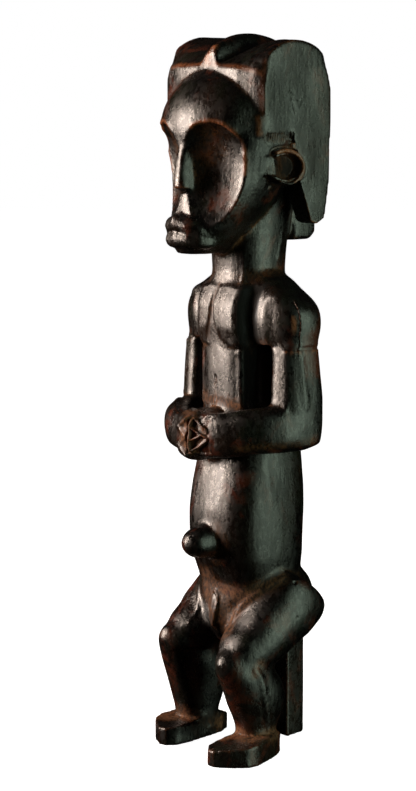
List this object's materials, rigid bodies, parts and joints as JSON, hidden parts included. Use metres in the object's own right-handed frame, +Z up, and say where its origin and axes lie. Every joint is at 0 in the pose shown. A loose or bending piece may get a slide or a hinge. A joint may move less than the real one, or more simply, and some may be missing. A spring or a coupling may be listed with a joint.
{
  "type": "reliquary guardian figure",
  "caption": "Standing carved wooden guardian figure with a lobed coiffure, joined hands, bent legs and a stout rear post; stands on its feet and post.",
  "frame": {"origin": "on the floor, at the middle of the figure's footprint as seen from above", "axes": "+Z up the figure, -Y is the way it faces, +X is its own left side"},
  "size_m": [0.1258, 0.1164, 0.5],
  "materials": {
    "wood": "dark oiled and smoked patina, semi-gloss, worn red-brown on the edges"
  },
  "bodies": {
    "root": {"figure": "wood"}
  },
  "joints": []
}
